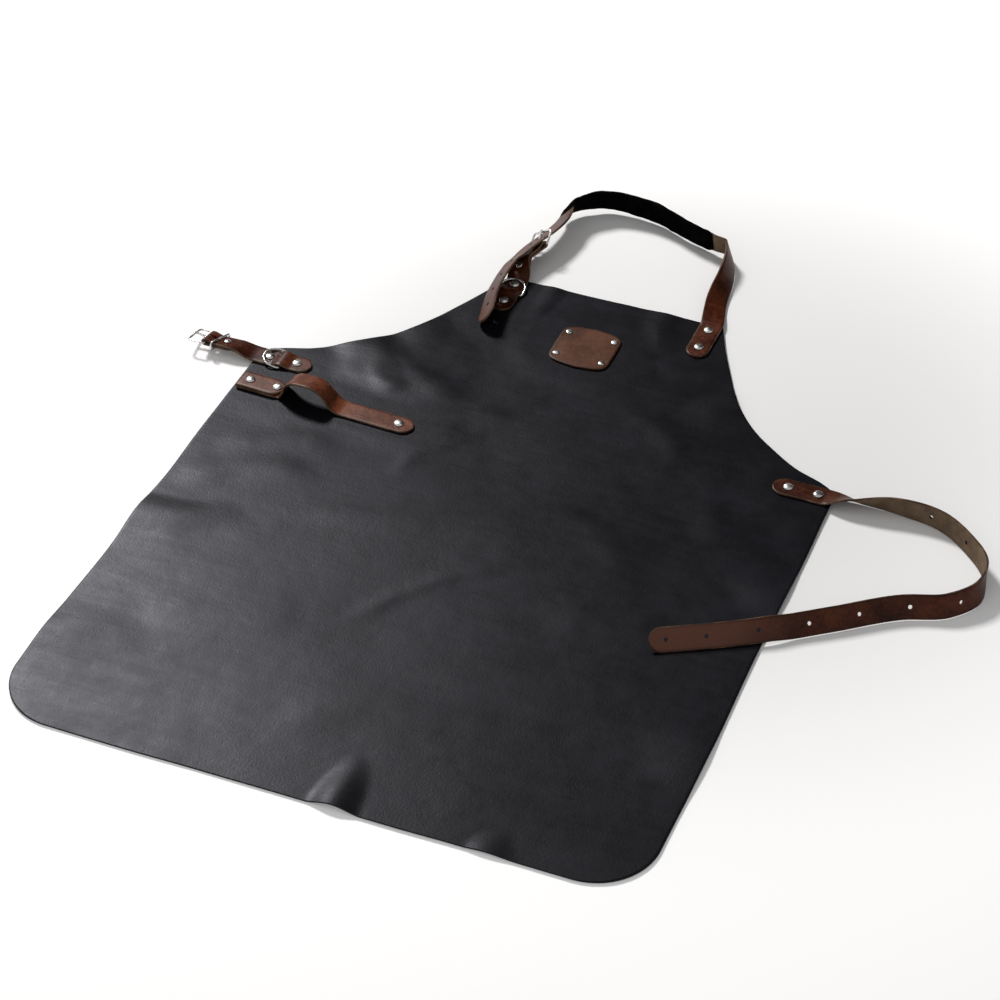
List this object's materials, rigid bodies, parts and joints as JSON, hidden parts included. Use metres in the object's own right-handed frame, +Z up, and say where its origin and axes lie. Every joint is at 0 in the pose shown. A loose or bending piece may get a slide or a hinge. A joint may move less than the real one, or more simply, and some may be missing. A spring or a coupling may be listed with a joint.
{
  "type": "blacksmith apron",
  "caption": "Long leather work apron with rounded corners, a riveted neck strap with a soft pad, a buckled waist strap and a loop for a towel or tool, laid flat.",
  "frame": {"origin": "on the surface the apron lies on, under the middle of the leather sheet", "axes": "+X across the apron towards the long waist strap, +Y from the hem towards the bib, +Z up from the surface"},
  "size_m": [0.9352, 1.0246, 0.036],
  "materials": {
    "black_leather": "smooth, worn satin",
    "brown_leather": "smooth, waxed satin",
    "pad_fabric": "soft, matt",
    "steel": "polished"
  },
  "bodies": {
    "apron": {"apron_body": "black_leather", "patch": "brown_leather", "patch_rivet_1": "steel", "patch_rivet_2": "steel", "patch_rivet_3": "steel", "patch_rivet_4": "steel", "neck_strap": "brown_leather", "neck_strap_rivet_1": "steel", "neck_strap_rivet_2": "steel", "neck_pad": "pad_fabric", "neck_buckle_strap": "brown_leather", "neck_buckle_rivet_1": "steel", "neck_buckle_rivet_2": "steel", "neck_fold_rivet": "steel", "neck_buckle_frame": "steel", "neck_buckle_tongue": "steel", "waist_strap": "brown_leather", "waist_strap_rivet_1": "steel", "waist_strap_rivet_2": "steel", "waist_buckle_strap": "brown_leather", "waist_buckle_rivet_1": "steel", "waist_buckle_rivet_2": "steel", "waist_fold_rivet": "steel", "waist_keeper": "steel", "tool_loop": "brown_leather", "tool_rivet_1": "steel", "tool_rivet_2": "steel", "tool_rivet_3": "steel"},
    "waist_frame": {"waist_buckle_frame": "steel"},
    "waist_tongue": {"waist_buckle_tongue": "steel"},
    "waist_ring": {"waist_d_ring": "steel"},
    "neck_ring": {"neck_d_ring": "steel"}
  },
  "joints": [
    {"name": "waist_frame_hinge", "type": "hinge", "parent": "apron", "child": "waist_frame", "pos_m": [-0.392, 0.183, 0.0111], "axis": [0, 0.9703, -0.2419], "range_deg": [0, 95]},
    {"name": "waist_tongue_hinge", "type": "hinge", "parent": "waist_frame", "child": "waist_tongue", "pos_m": [-0.392, 0.183, 0.0111], "axis": [0, 0.9703, -0.2419], "range_deg": [0, 50]},
    {"name": "waist_ring_hinge", "type": "hinge", "parent": "apron", "child": "waist_ring", "pos_m": [-0.3015, 0.183, 0.00515], "axis": [0, 1, 0], "range_deg": [0, 155]},
    {"name": "neck_ring_hinge", "type": "hinge", "parent": "apron", "child": "neck_ring", "pos_m": [-0.117, 0.3945, 0.00515], "axis": [1, 0, 0], "range_deg": [0, 15]}
  ]
}
